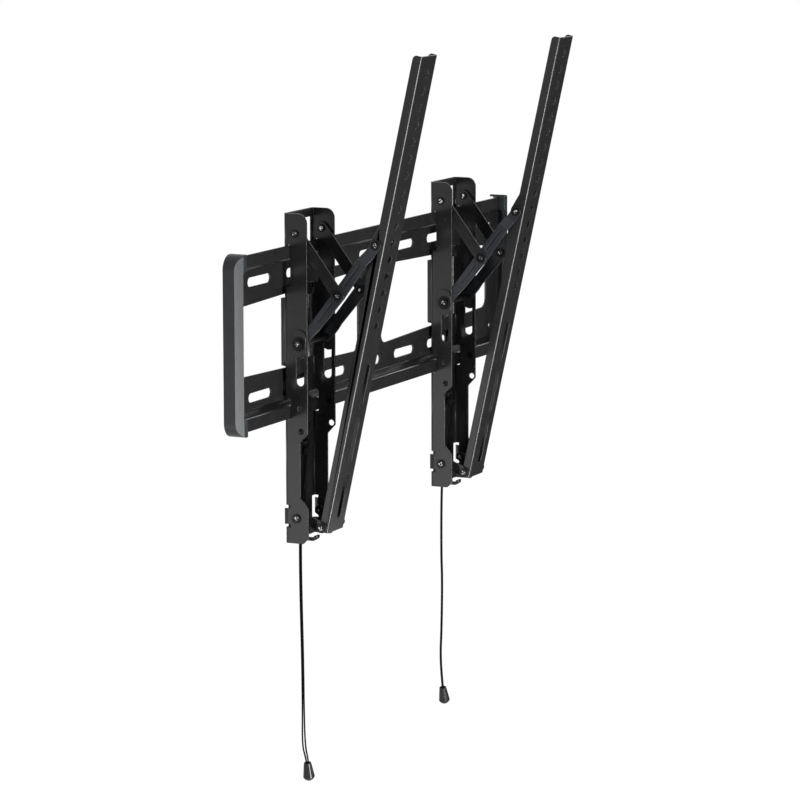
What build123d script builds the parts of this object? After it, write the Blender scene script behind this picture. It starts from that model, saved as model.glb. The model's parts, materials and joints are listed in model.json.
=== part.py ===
"""Tilting TV wall bracket: a wall plate, two uprights that hook onto it, and two tilting TV rails.

Millimetres, Z up, X along the wall, Y into the wall. The wall is the plane Y = 0 and the origin is
the centre of the wall plate's back face. A depth is a distance out from the wall, so a depth of 12
lies at Y = -12. The rails are drawn at their full forward tilt, as the bracket hangs with no TV on.
"""

import os
from math import atan2, copysign, cos, degrees, hypot, radians, sin

from build123d import *

# Clearances
RUN_RADIAL = 0.06  # pin in a bore that turns on it
SIDE_GAP = 0.3  # between faces that slide past each other
HOOK_GAP = 0.5  # between the hooks and the wall plate's bands
PIVOT_PLAY = 1.7  # room round the scissor pins, which the long arm's linkage needs

# Wall plate, one folded sheet
PLATE_LENGTH = 748.0
PLATE_SHEET = 2.0
PLATE_BEND = 3.0
STRIP_HALF = 81.0  # half height of the flat against the wall
JOGGLE_RISE = 6.0
BAND_DEPTH = 12.8  # front face of the two hanging bands
BAND_HALF = 101.0  # half height over both bands
WINDOW_FAR_HALF = 40.0  # half height of a window at the plate's end
WINDOW_NEAR_HALF = 48.5  # and at the bar between the windows
WINDOW_BAR = 64.0  # width of that bar
WINDOW_INSET = 34.0  # from the plate's end
WINDOW_CORNER = 11.0
WALL_SLOT = (55.0, 10.5)
WALL_SLOT_PITCH = 96.0
WALL_SLOT_COUNT = 7
WALL_SLOT_HEIGHT = 66.5
PUNCH_SHIFT = -4.0  # of the slots and the bar from the plate's middle
END_HOLE = 2.6
END_HOLE_INSET = 22.0

# End caps, moulded
CAP_WALL = 2.6
CAP_WIDTH = 19.5
CAP_LIP = 10.5  # how far the cap reaches in between the bands
CAP_SIDE_DEPTH = 14.8
CAP_FRONT_DEPTH = 21.0
CAP_CORNER = 17.0
CAP_LIP_CORNER = 7.0

# Uprights, folded channels open to the front
UPRIGHT_SPACING = 400.0
UPRIGHT_WIDTH = 73.6
UPRIGHT_SHEET = 2.5
UPRIGHT_BEND = 4.0
UPRIGHT_BACK = 4.8
UPRIGHT_FRONT = 34.8
UPRIGHT_TOP = 138.0
UPRIGHT_BOTTOM = -248.0
UPRIGHT_TOP_CORNER = 11.0
TOP_STRAP = 10.0  # height of the web left above the hook opening
HOOK_MARGIN = 3.0  # width of the web left on each side of that opening
HOOK_LENGTH = 11.0  # how far the tooth reaches down behind the upper band
UPPER_NOTCH_BOTTOM = 51.0
LOWER_NOTCH_TOP = -76.7
LOWER_NOTCH_GAP = 1.4
NOTCH_CORNER = 2.0
WAIST_DEPTH = 24.8
WAIST_TOP = -117.7
WAIST_BOTTOM = -206.2
WAIST_SLOPE = 10.8
FOOT_CUT = 6.5
TRAY_DEPTH = 0.7  # back of the pressed part of the web, which reaches into the window
TRAY_HALF = 39.2
TRAY_SLOPE = 0.8
TRAY_EDGE = 1.2
WEB_CUT = (30.0, -54.0)  # width and top of the opening above the lower notch
FLANGE_HOLE = 3.5
LEFT_FLANGE_HOLES = ((25.0, -89.1), (25.9, -115.5))
RIGHT_FLANGE_HOLE = (29.7, -115.5)
SIDE_RIVET = (28.8, -89.1)  # on the right flange
SLOT_WIDTH = 9.8
SLOT_BOTTOM = -62.6
SLOT_DEPTH = 25.4
LANCE_TOP = -203.0
LANCE_BOTTOM = -229.5
LANCE_WIDTH = 4.0
LANCE_REACH = 8.5  # how far each lanced cut runs in from the flange's outer face
LANCE_ARM = 12.0  # depth to which the lanced cuts go up the flanges
LANCE_FLARE_LEFT = 0.6  # how far the left lanced tab's back edge is bent outward
LANCE_FLARE_RIGHT = 5.5
TONGUE_WIDTH = 11.0
TONGUE_CENTRE = 7.5
TONGUE_REACH = 17.5
TONGUE_DROP = 3.8
TONGUE_TIP = 3.6

# Linkage at full tilt: each pivot is a depth and a height
PIVOT_A = (20.2, 114.6)
PIVOT_S = (25.1, -13.0)
PIVOT_T = (116.7, 104.5)
PIVOT_B = (72.5, 45.0)
PIVOT_Q = (19.8, -218.4)
PIVOT_P = (45.6, -229.8)
PIN_RADIUS = 3.0
CROSS_PIN_RADIUS = 2.5
SCREW_HEAD_RADIUS = 5.5
SCREW_HEAD_HEIGHT = 2.4
LOW_HEAD_HEIGHT = 1.6
RIVET_HEAD_RADIUS = 4.6
RIVET_HEAD_HEIGHT = 1.8
SCREW_COLLAR_RADIUS = 4.0
SCREW_RECESS = (6.0, 1.2, 1.1)  # length, width and depth of the cross recess
LINK_SHEET = 2.0
LINK_END = 7.2
ARM_SHEET = 2.0
ARM_END = 6.2
ARM_MIDDLE = 7.6
ARM_BEND = 3.0
ARM_JOGGLE_FOOT = (17.0, 27.0)  # from pivot S, where the foot's joggle starts and ends
ARM_JOGGLE_HEAD = (24.0, 13.0)  # from pivot T, where the head's joggle starts and ends
ARM_GROOVE = (2.4, 0.6)  # width and depth of the stiffening groove
ARM_GROOVE_RUNS = ((31.0, 62.0), (87.0, 120.0))  # from pivot S
LOWER_LINK_SHEET = 2.5
LOWER_LINK_END = 6.2
FRICTION_PLATE = (33.0, 17.5, 1.7)
WASHER_RADIUS = 8.4
WASHER_HEIGHT = 1.2
ROD_HEAD_RADIUS = 6.6

# TV rail, a folded channel open to the back
RAIL_LENGTH = 571.0
RAIL_WIDTH = 43.0
RAIL_SHEET = 2.0
RAIL_BEND = 3.0
RAIL_FLANGE = 11.2
RAIL_TILT = 12.4  # degrees forward of upright
RAIL_FOOT = (51.8, -236.6)  # depth and height of the front face's lower end
RAIL_TOP_CORNER = 5.0
RAIL_EAR = 8.6
RAIL_EAR_ABOVE = 22.0
RAIL_EAR_BELOW = 95.0
RAIL_TOE = 6.2
RAIL_HOLE = 4.6
RAIL_HOLE_PITCH = 20.0
RAIL_HOLE_COUNT = 16
RAIL_HOLE_OFFSET = 1.5  # sideways from the rail's middle
RAIL_FIRST_HOLE = 21.5  # from the top end
RAIL_SLOT = (54.0, 9.2)
RAIL_SLOT_PITCH = 67.0
RAIL_SLOT_COUNT = 3
RAIL_LOWEST_SLOT = 43.0  # from the bottom end to the slot's centre

# Latch, cord and toggle
LATCH_SHEET = 2.4
LATCH_WIDTH = 34.0
LATCH_ROOM = 7.5  # from the plate's lower joggle down to the latch's nose
LATCH_SKIRT = 18.0  # from the guide rivets down to the latch's lower edge
LATCH_TRAVEL = 8.0
LATCH_TAIL_WIDTH = 10.0
LATCH_TAIL_REACH = 11.4
LATCH_TAIL_CENTRE = -7.0
LATCH_NOSE_CUT = 5.0
GUIDE_SPACING = 20.0
GUIDE_DROP = 15.0  # from the lower band's edge down to the guide rivets
GUIDE_RADIUS = 2.6
GUIDE_HEAD_RADIUS = 5.0
CORD_RADIUS = 1.0
CORD_EYE_RADIUS = 2.8
CORD_END_GAP = 0.3  # between the knot and the ends that enter it
LOOP_GAP = 1.6  # from the tail to the cord's loop round its tip
KNOT_RADIUS = 4.6
KNOT_DROP = 5.0  # from the latch's lower edge
KNOT_HEIGHT = 8.0
TOGGLE_TOP_RADIUS = 4.4
TOGGLE_WIDE_RADIUS = 7.0
TOGGLE_HEIGHT = 23.0
TOGGLE_WIDEST = 0.78  # share of the height down to the widest place
TOGGLE_BORE = (3.0, 7.0)

# Each cord's route below its knot: along the wall from the upright's centre, depth, drop below the
# knot, and how far each strand lies from the pair's middle
CORD_ROUTES = {
    "left": (
        (-7.0, 17.7, 0.3, 1.25),
        (-8.4, 14.6, 31.0, 1.25),
        (-10.2, 12.4, 65.0, 1.25),
        (-13.4, 12.4, 105.0, 1.25),
        (-12.4, 12.4, 170.0, 1.25),
        (-9.0, 12.4, 243.0, 1.25),
        (-8.2, 12.4, 310.0, 1.25),
        (-7.6, 12.4, 350.0, 2.0),
        (0.6, 12.4, 367.3, 1.35),
        (3.0, 12.4, 378.3, 1.25),
    ),
    "right": (
        (-7.0, 17.7, 0.3, 1.2),
        (-7.5, 14.6, 31.0, 1.2),
        (-12.0, 12.4, 65.0, 1.2),
        (-19.5, 12.4, 103.0, 1.2),
        (-20.5, 12.4, 192.5, 1.2),
        (-17.5, 12.4, 223.0, 1.2),
        (-19.8, 12.4, 289.0, 1.2),
        (-23.5, 12.4, 322.0, 1.2),
        (-17.5, 12.4, 360.5, 1.2),
        (-14.7, 12.4, 370.5, 1.2),
    ),
}
SPREAD_WAY = {"left": (0.0, 1.0), "right": (1.0, 0.0)}  # along the wall and in depth

SIDES = {"left": -UPRIGHT_SPACING / 2, "right": UPRIGHT_SPACING / 2}
INNER_HALF = UPRIGHT_WIDTH / 2 - UPRIGHT_SHEET
OUTER_HALF = UPRIGHT_WIDTH / 2
WEB_FRONT = UPRIGHT_BACK + UPRIGHT_SHEET
NOTCH_FRONT = BAND_DEPTH + HOOK_GAP
TOOTH_FRONT = BAND_DEPTH - PLATE_SHEET - HOOK_GAP
LINK_OUTER = INNER_HALF - SIDE_GAP - LOW_HEAD_HEIGHT
LINK_INNER = LINK_OUTER - LINK_SHEET
ARM_FOOT_LEVEL = INNER_HALF - SIDE_GAP
ARM_LEVEL = LINK_INNER - SIDE_GAP
ARM_HEAD_LEVEL = RAIL_WIDTH / 2 + SIDE_GAP + ARM_SHEET
LOWER_LINK_OUTER = RAIL_WIDTH / 2 + SIDE_GAP + LOWER_LINK_SHEET
PLATE_STACK = OUTER_HALF + SIDE_GAP + FRICTION_PLATE[2] + SIDE_GAP / 3
WASHER_STACK = PLATE_STACK + WASHER_HEIGHT
LATCH_BACK = WEB_FRONT + SIDE_GAP
LATCH_FRONT = LATCH_BACK + LATCH_SHEET
ARM_LENGTH = hypot(PIVOT_T[0] - PIVOT_S[0], PIVOT_T[1] - PIVOT_S[1])
ARM_LEAN = atan2(PIVOT_T[0] - PIVOT_S[0], PIVOT_T[1] - PIVOT_S[1])
LINK_SPAN = hypot(PIVOT_P[0] - PIVOT_Q[0], PIVOT_P[1] - PIVOT_Q[1])
LINK_LEAN = atan2(PIVOT_P[1] - PIVOT_Q[1], PIVOT_P[0] - PIVOT_Q[0])
TILT = radians(RAIL_TILT)
LATCH_TOP = -STRIP_HALF - JOGGLE_RISE - LATCH_ROOM
GUIDE_HEIGHT = -BAND_HALF - GUIDE_DROP
LATCH_BOTTOM = GUIDE_HEIGHT - LATCH_SKIRT
KNOT_TOP = LATCH_BOTTOM - KNOT_DROP
KNOT_BOTTOM = KNOT_TOP - KNOT_HEIGHT

# Views: in a side view local x is depth and local y is height, in a front view they are X and height
SIDE = Plane(origin=(0, 0, 0), x_dir=(0, -1, 0), z_dir=(-1, 0, 0))
FRONT = Plane.XZ
RAIL_ORIGIN = (0, -RAIL_FOOT[0], RAIL_FOOT[1])
RAIL_SIDE = Plane(origin=RAIL_ORIGIN, x_dir=(0, -cos(TILT), -sin(TILT)), z_dir=(-1, 0, 0))
RAIL_FRONT = Plane(origin=RAIL_ORIGIN, x_dir=(1, 0, 0), z_dir=(0, -cos(TILT), -sin(TILT)))
RAIL_END = Plane(origin=RAIL_ORIGIN, x_dir=(1, 0, 0), z_dir=(0, -sin(TILT), cos(TILT)))
ARM_EDGE = Plane(
    origin=(0, -PIVOT_S[0], PIVOT_S[1]),
    x_dir=(0, -sin(ARM_LEAN), cos(ARM_LEAN)),
    z_dir=(0, cos(ARM_LEAN), sin(ARM_LEAN)),
)


def side_view(x):
    """Side view at X = x, seen from the left."""
    return SIDE.offset(-x)


def on_rail(pivot):
    """A pivot's place in the rail's side view, x out of the front face and y up the rail."""
    local = RAIL_SIDE.to_local_coords(Vector(0, -pivot[0], pivot[1]))
    return (local.X, local.Y)


def channel_section(plane, width, root, rim, sheet, bend):
    """A channel's section: a web at root, a flange at each side out to rim, bends of outer radius bend."""
    half = width / 2
    inside = root + copysign(sheet, rim - root)
    with BuildSketch(plane) as section:
        with BuildLine():
            FilletPolyline((-half, rim), (-half, root), (half, root), (half, rim), radius=bend)
            Line((half, rim), (half - sheet, rim))
            FilletPolyline(
                (half - sheet, rim),
                (half - sheet, inside),
                (sheet - half, inside),
                (sheet - half, rim),
                radius=bend - sheet,
            )
            Line((sheet - half, rim), (-half, rim))
        make_face()
    return section.sketch


def step(pivot, radius, start, end, mode=Mode.ADD):
    """A round step about a pivot, from X = start to X = end."""
    with BuildSketch(side_view(start)) as disc:
        with Locations(pivot):
            Circle(radius)
    extrude(disc.sketch, amount=start - end, mode=mode)


def cross_recess(pivot, x):
    """Cuts a cross recess into a screw head whose outer face is at X = x, facing left for x below 0."""
    length, width, depth = SCREW_RECESS
    with BuildSketch(side_view(x)) as cross:
        with Locations(pivot):
            Rectangle(length, width, rotation=20)
            Rectangle(length, width, rotation=110)
    extrude(cross.sketch, amount=copysign(depth, x), mode=Mode.SUBTRACT)


def write(part, name):
    """Labels one finished piece and writes its STEP file."""
    part.label = name
    export_step(part, f"parts/{name}.step")


def write_pair(part, name):
    """Writes a piece of the left and of the right upright, alike but for its place."""
    for side, x in SIDES.items():
        write(part.moved(Location((x, 0, 0))), f"{name}_{side}")


os.makedirs("parts", exist_ok=True)

# Wall plate
with BuildPart() as wall_plate:
    with BuildSketch(SIDE) as plate_section:
        with BuildLine():
            FilletPolyline(
                (BAND_DEPTH - PLATE_SHEET, BAND_HALF),
                (BAND_DEPTH - PLATE_SHEET, STRIP_HALF + JOGGLE_RISE),
                (0, STRIP_HALF),
                (0, -STRIP_HALF),
                (BAND_DEPTH - PLATE_SHEET, -STRIP_HALF - JOGGLE_RISE),
                (BAND_DEPTH - PLATE_SHEET, -BAND_HALF),
                radius=PLATE_BEND,
            )
            offset(amount=PLATE_SHEET, side=Side.LEFT)
        make_face()
    extrude(amount=PLATE_LENGTH / 2, both=True)
    with BuildSketch(FRONT) as plate_corners:
        RectangleRounded(PLATE_LENGTH, 2 * BAND_HALF, CAP_CORNER - CAP_WALL)
    extrude(amount=BAND_DEPTH, mode=Mode.INTERSECT)
    with BuildSketch(FRONT) as plate_openings:
        for hand in (-1, 1):
            far = hand * (PLATE_LENGTH / 2 - WINDOW_INSET)
            near = PUNCH_SHIFT + hand * WINDOW_BAR / 2
            with BuildSketch(mode=Mode.PRIVATE) as window:
                Polygon(
                    (far, WINDOW_FAR_HALF),
                    (near, WINDOW_NEAR_HALF),
                    (near, -WINDOW_NEAR_HALF),
                    (far, -WINDOW_FAR_HALF),
                    align=None,
                )
                fillet(window.vertices(), WINDOW_CORNER)
            add(window.sketch)
        with Locations((PUNCH_SHIFT, 0)):
            with GridLocations(WALL_SLOT_PITCH, 2 * WALL_SLOT_HEIGHT, WALL_SLOT_COUNT, 2):
                SlotOverall(*WALL_SLOT)
        with GridLocations(PLATE_LENGTH - 2 * END_HOLE_INSET, 2 * WALL_SLOT_HEIGHT, 2, 2):
            Circle(END_HOLE)
    extrude(amount=PLATE_SHEET, mode=Mode.SUBTRACT)
write(wall_plate.part, "wall_plate")

# End caps: a moulded shell over each end of the plate
cap_outer = PLATE_LENGTH / 2 + CAP_WALL
cap_inner = cap_outer - CAP_WIDTH
cap_half = BAND_HALF + SIDE_GAP + CAP_WALL
lip_inner = cap_outer - CAP_LIP
lip_half = STRIP_HALF + JOGGLE_RISE - CAP_WALL
with BuildPart() as end_cap_right:
    with BuildSketch(FRONT) as cap_outline:
        with Locations(((cap_outer + cap_inner) / 2, 0)):
            Rectangle(CAP_WIDTH, 2 * cap_half)
        fillet(cap_outline.vertices().group_by(Axis.X)[-1], CAP_CORNER)
    extrude(amount=CAP_FRONT_DEPTH)
    with BuildSketch(Plane.XY) as bevel_outline:
        Polygon(
            (cap_outer, -CAP_SIDE_DEPTH),
            (lip_inner, -CAP_FRONT_DEPTH),
            (cap_outer, -CAP_FRONT_DEPTH),
            align=None,
        )
    extrude(amount=cap_half, both=True, mode=Mode.SUBTRACT)
    with BuildSketch(FRONT) as cap_hollow:
        with Locations(((PLATE_LENGTH / 2 + cap_inner) / 2, 0)):
            Rectangle(CAP_WIDTH - CAP_WALL, 2 * (cap_half - CAP_WALL))
        fillet(cap_hollow.vertices().group_by(Axis.X)[-1], CAP_CORNER - CAP_WALL)
    extrude(amount=BAND_DEPTH + SIDE_GAP, mode=Mode.SUBTRACT)
    with BuildSketch(FRONT) as lip_gap:
        with Locations((cap_inner, 0)):
            RectangleRounded(2 * (lip_inner - cap_inner), 2 * lip_half, CAP_LIP_CORNER)
    extrude(amount=CAP_FRONT_DEPTH, mode=Mode.SUBTRACT)
write(end_cap_right.part, "end_cap_right")

with BuildPart() as end_cap_left:
    mirror(end_cap_right.part, about=Plane.YZ)
write(end_cap_left.part, "end_cap_left")

# Upright: a folded channel cut to the flanges' outline
with BuildPart() as upright:
    extrude(
        channel_section(
            Plane.XY.offset(UPRIGHT_BOTTOM),
            UPRIGHT_WIDTH,
            -UPRIGHT_BACK,
            -UPRIGHT_FRONT,
            UPRIGHT_SHEET,
            UPRIGHT_BEND,
        ),
        amount=UPRIGHT_TOP - UPRIGHT_BOTTOM,
    )
    with BuildSketch(SIDE) as flange_outline:
        with BuildLine():
            FilletPolyline(
                (UPRIGHT_BACK, UPRIGHT_TOP),
                (UPRIGHT_FRONT, UPRIGHT_TOP),
                (UPRIGHT_FRONT, 0),
                radius=UPRIGHT_TOP_CORNER,
            )
            FilletPolyline(
                (UPRIGHT_FRONT, 0),
                (UPRIGHT_FRONT, WAIST_TOP),
                (WAIST_DEPTH, WAIST_TOP - WAIST_SLOPE),
                (WAIST_DEPTH, WAIST_BOTTOM + WAIST_SLOPE),
                (UPRIGHT_FRONT, WAIST_BOTTOM),
                (UPRIGHT_FRONT, UPRIGHT_BOTTOM + FOOT_CUT),
                (UPRIGHT_FRONT - FOOT_CUT, UPRIGHT_BOTTOM),
                (UPRIGHT_BACK, UPRIGHT_BOTTOM),
                radius=NOTCH_CORNER,
            )
            Line((UPRIGHT_BACK, UPRIGHT_BOTTOM), (UPRIGHT_BACK, -BAND_HALF - LOWER_NOTCH_GAP))
            FilletPolyline(
                (UPRIGHT_BACK, -BAND_HALF - LOWER_NOTCH_GAP),
                (NOTCH_FRONT, -BAND_HALF - LOWER_NOTCH_GAP),
                (NOTCH_FRONT, LOWER_NOTCH_TOP),
                (UPRIGHT_BACK, LOWER_NOTCH_TOP),
                radius=NOTCH_CORNER,
            )
            Line((UPRIGHT_BACK, LOWER_NOTCH_TOP), (UPRIGHT_BACK, UPPER_NOTCH_BOTTOM))
            Polyline(
                (UPRIGHT_BACK, UPPER_NOTCH_BOTTOM),
                (NOTCH_FRONT, UPPER_NOTCH_BOTTOM),
                (NOTCH_FRONT, BAND_HALF + SIDE_GAP),
                (TOOTH_FRONT, BAND_HALF + SIDE_GAP),
                (TOOTH_FRONT, BAND_HALF + SIDE_GAP - HOOK_LENGTH),
                (UPRIGHT_BACK, BAND_HALF + SIDE_GAP - HOOK_LENGTH),
                (UPRIGHT_BACK, UPRIGHT_TOP),
            )
        make_face()
    extrude(amount=OUTER_HALF, both=True, mode=Mode.INTERSECT)
    with BuildSketch(FRONT.offset(UPRIGHT_BACK)) as web_openings:
        opening_top = UPRIGHT_TOP - TOP_STRAP
        with Locations((0, (opening_top + UPPER_NOTCH_BOTTOM) / 2)):
            Rectangle(2 * (INNER_HALF - HOOK_MARGIN), opening_top - UPPER_NOTCH_BOTTOM)
        with Locations((0, (WEB_CUT[1] + LOWER_NOTCH_TOP) / 2)):
            Rectangle(WEB_CUT[0], WEB_CUT[1] - LOWER_NOTCH_TOP)
    extrude(amount=UPRIGHT_SHEET, mode=Mode.SUBTRACT)
    with BuildSketch(SIDE) as tray_section:
        with BuildLine():
            Polyline(
                (WEB_FRONT, TRAY_HALF + TRAY_SLOPE),
                (UPRIGHT_BACK, TRAY_HALF + TRAY_SLOPE),
                (TRAY_DEPTH, TRAY_HALF),
                (TRAY_DEPTH, -TRAY_HALF),
                (UPRIGHT_BACK, -TRAY_HALF - TRAY_SLOPE),
                (WEB_FRONT, -TRAY_HALF - TRAY_SLOPE),
                close=True,
            )
        make_face()
    extrude(amount=OUTER_HALF, both=True)
    fillet(
        upright.edges().filter_by(Axis.Z).group_by(Axis.Y)[-1],
        TRAY_EDGE,
    )
    with BuildSketch(SIDE) as tray_hollow:
        with BuildLine():
            Polyline(
                (UPRIGHT_FRONT, TRAY_HALF + TRAY_SLOPE - UPRIGHT_SHEET),
                (UPRIGHT_BACK + UPRIGHT_SHEET, TRAY_HALF + TRAY_SLOPE - UPRIGHT_SHEET),
                (TRAY_DEPTH + UPRIGHT_SHEET, TRAY_HALF - UPRIGHT_SHEET),
                (TRAY_DEPTH + UPRIGHT_SHEET, UPRIGHT_SHEET - TRAY_HALF),
                (UPRIGHT_BACK + UPRIGHT_SHEET, UPRIGHT_SHEET - TRAY_HALF - TRAY_SLOPE),
                (UPRIGHT_FRONT, UPRIGHT_SHEET - TRAY_HALF - TRAY_SLOPE),
                close=True,
            )
        make_face()
    extrude(amount=INNER_HALF, both=True, mode=Mode.SUBTRACT)
    with BuildSketch(SIDE) as flange_holes:
        slot_top = PIVOT_S[1] + SLOT_WIDTH / 2
        with Locations((SLOT_DEPTH, (slot_top + SLOT_BOTTOM) / 2)):
            SlotOverall(slot_top - SLOT_BOTTOM, SLOT_WIDTH, rotation=90)
        with Locations(PIVOT_A, PIVOT_Q):
            Circle(PIN_RADIUS)
    extrude(amount=OUTER_HALF, both=True, mode=Mode.SUBTRACT)
    for place in LEFT_FLANGE_HOLES:
        step(place, FLANGE_HOLE, -OUTER_HALF, -INNER_HALF, Mode.SUBTRACT)
    step(RIGHT_FLANGE_HOLE, FLANGE_HOLE, INNER_HALF, OUTER_HALF, Mode.SUBTRACT)
    with BuildSketch(FRONT.offset(UPRIGHT_BACK)) as lances:
        with Locations((0, (LANCE_TOP + LANCE_BOTTOM) / 2)):
            with GridLocations(2 * OUTER_HALF - LANCE_REACH, 0, 2, 1):
                Rectangle(LANCE_REACH, LANCE_TOP - LANCE_BOTTOM)
    extrude(amount=LANCE_ARM - UPRIGHT_BACK, mode=Mode.SUBTRACT)
    with BuildSketch(Plane.XY.offset(LANCE_BOTTOM + LANCE_WIDTH)) as lanced_tabs:
        for hand, flare in ((-1, LANCE_FLARE_LEFT), (1, LANCE_FLARE_RIGHT)):
            Polygon(
                (hand * INNER_HALF, -LANCE_ARM),
                (hand * OUTER_HALF, -LANCE_ARM),
                (hand * (OUTER_HALF + flare), -UPRIGHT_BACK),
                (hand * (INNER_HALF + flare), -UPRIGHT_BACK),
                align=None,
            )
    extrude(amount=LANCE_TOP - LANCE_BOTTOM - 2 * LANCE_WIDTH)
    with BuildSketch(side_view(TONGUE_CENTRE)) as tongue:
        with BuildLine():
            tongue_low = UPRIGHT_BOTTOM - TONGUE_DROP
            FilletPolyline(
                (UPRIGHT_BACK, UPRIGHT_BOTTOM + UPRIGHT_BEND),
                (UPRIGHT_BACK, tongue_low),
                (WEB_FRONT + TONGUE_REACH, tongue_low),
                (WEB_FRONT + TONGUE_REACH, tongue_low + UPRIGHT_SHEET + TONGUE_TIP),
                radius=UPRIGHT_BEND,
            )
            offset(amount=UPRIGHT_SHEET, side=Side.LEFT)
        make_face()
    extrude(amount=TONGUE_WIDTH / 2, both=True)
write_pair(upright.part, "upright")

# Rivets at pivot A: one through each flange, carrying a short link
with BuildPart() as link_rivets:
    for hand in (-1, 1):
        step(PIVOT_A, RIVET_HEAD_RADIUS, hand * (OUTER_HALF + RIVET_HEAD_HEIGHT), hand * OUTER_HALF)
        step(PIVOT_A, PIN_RADIUS, hand * OUTER_HALF, hand * LINK_INNER)
        step(PIVOT_A, RIVET_HEAD_RADIUS, hand * INNER_HALF, hand * (LINK_OUTER + SIDE_GAP))
        inner_head = LINK_INNER - SIDE_GAP
        step(PIVOT_A, PIN_RADIUS, hand * LINK_INNER, hand * inner_head)
        step(PIVOT_A, RIVET_HEAD_RADIUS, hand * inner_head, hand * (inner_head - RIVET_HEAD_HEIGHT))
write_pair(link_rivets.part, "link_rivets")

# Foot pins at pivot Q: a stub through each flange, with a collar and a keeper on either side of a cheek
with BuildPart() as foot_pins:
    cheek_side = LOWER_LINK_OUTER + SIDE_GAP
    keeper = LOWER_LINK_OUTER - LOWER_LINK_SHEET - SIDE_GAP
    for hand in (-1, 1):
        head = hand * (OUTER_HALF + RIVET_HEAD_HEIGHT)
        step(PIVOT_Q, SCREW_HEAD_RADIUS, head, hand * OUTER_HALF)
        step(PIVOT_Q, PIN_RADIUS, hand * OUTER_HALF, hand * keeper)
        step(PIVOT_Q, RIVET_HEAD_RADIUS, hand * INNER_HALF, hand * cheek_side)
        step(PIVOT_Q, RIVET_HEAD_RADIUS, hand * keeper, hand * (keeper - RIVET_HEAD_HEIGHT))
        cross_recess(PIVOT_Q, head)
write_pair(foot_pins.part, "foot_pins")

# Lower link: two cheeks and a tie between them, folded as one
with BuildPart() as lower_link:
    cheek_inner = LOWER_LINK_OUTER - LOWER_LINK_SHEET
    with BuildSketch(SIDE) as cheek_outline:
        with Locations(PIVOT_Q, PIVOT_P):
            Circle(LOWER_LINK_END)
        make_hull()
    extrude(amount=LOWER_LINK_OUTER, both=True)
    with BuildSketch(SIDE) as cheek_gap:
        with Locations(Location((*PIVOT_Q, 0), (0, 0, degrees(LINK_LEAN)))):
            with Locations((0, LOWER_LINK_SHEET / 2)):
                Rectangle(4 * LINK_SPAN, 2 * LOWER_LINK_END - LOWER_LINK_SHEET)
        with Locations(PIVOT_Q):
            Circle(LOWER_LINK_END + LOWER_LINK_SHEET / 2)
        with Locations(PIVOT_P):
            Circle(2 * LOWER_LINK_END + LOWER_LINK_SHEET)
    extrude(amount=cheek_inner, both=True, mode=Mode.SUBTRACT)
    step(PIVOT_Q, PIN_RADIUS + RUN_RADIAL, -LOWER_LINK_OUTER, LOWER_LINK_OUTER, Mode.SUBTRACT)
    step(PIVOT_P, PIN_RADIUS + RUN_RADIAL, -LOWER_LINK_OUTER, LOWER_LINK_OUTER, Mode.SUBTRACT)
write_pair(lower_link.part, "lower_link")

# TV rail: a folded channel cut to the flanges' outline, with an ear at pivot T and a toe at pivot P
with BuildPart() as tv_rail:
    ear = on_rail(PIVOT_T)
    toe = on_rail(PIVOT_P)
    reach = 2 * RAIL_EAR - ear[0]
    extrude(
        channel_section(RAIL_END, RAIL_WIDTH, 0, reach, RAIL_SHEET, RAIL_BEND),
        amount=RAIL_LENGTH,
    )
    extrude(
        channel_section(RAIL_END, RAIL_WIDTH, 0, reach, RAIL_SHEET, RAIL_BEND),
        amount=-2 * RAIL_TOE,
    )
    with BuildSketch(RAIL_SIDE) as rail_outline:
        with Locations((-RAIL_FLANGE / 2, RAIL_LENGTH / 2)):
            Rectangle(RAIL_FLANGE, RAIL_LENGTH)
        fillet(rail_outline.vertices().group_by(Axis.Y)[-1].sort_by(Axis.X)[0], RAIL_TOP_CORNER)
        with BuildSketch(mode=Mode.PRIVATE) as ear_outline:
            with Locations(ear):
                Circle(RAIL_EAR)
            with Locations(
                (RAIL_SHEET - RAIL_FLANGE, ear[1] + RAIL_EAR_ABOVE),
                (RAIL_SHEET - RAIL_FLANGE, ear[1] - RAIL_EAR_BELOW),
            ):
                Circle(RAIL_SHEET)
            make_hull()
        add(ear_outline.sketch)
        with Locations(toe):
            Circle(RAIL_TOE)
    extrude(amount=RAIL_WIDTH / 2, both=True, mode=Mode.INTERSECT)
    with BuildSketch(RAIL_FRONT) as rail_holes:
        run = (RAIL_HOLE_COUNT - 1) * RAIL_HOLE_PITCH
        with Locations((RAIL_HOLE_OFFSET, RAIL_LENGTH - RAIL_FIRST_HOLE - run / 2)):
            with GridLocations(0, RAIL_HOLE_PITCH, 1, RAIL_HOLE_COUNT):
                Circle(RAIL_HOLE)
        slots_run = (RAIL_SLOT_COUNT - 1) * RAIL_SLOT_PITCH
        with Locations((RAIL_HOLE_OFFSET, RAIL_LOWEST_SLOT + slots_run / 2)):
            with GridLocations(0, RAIL_SLOT_PITCH, 1, RAIL_SLOT_COUNT):
                SlotOverall(*RAIL_SLOT, rotation=90)
    extrude(amount=-RAIL_SHEET, mode=Mode.SUBTRACT)
    for pivot in (PIVOT_T, PIVOT_P):
        step(pivot, PIN_RADIUS, -RAIL_WIDTH / 2, RAIL_WIDTH / 2, Mode.SUBTRACT)
write_pair(tv_rail.part, "tv_rail")

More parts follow.
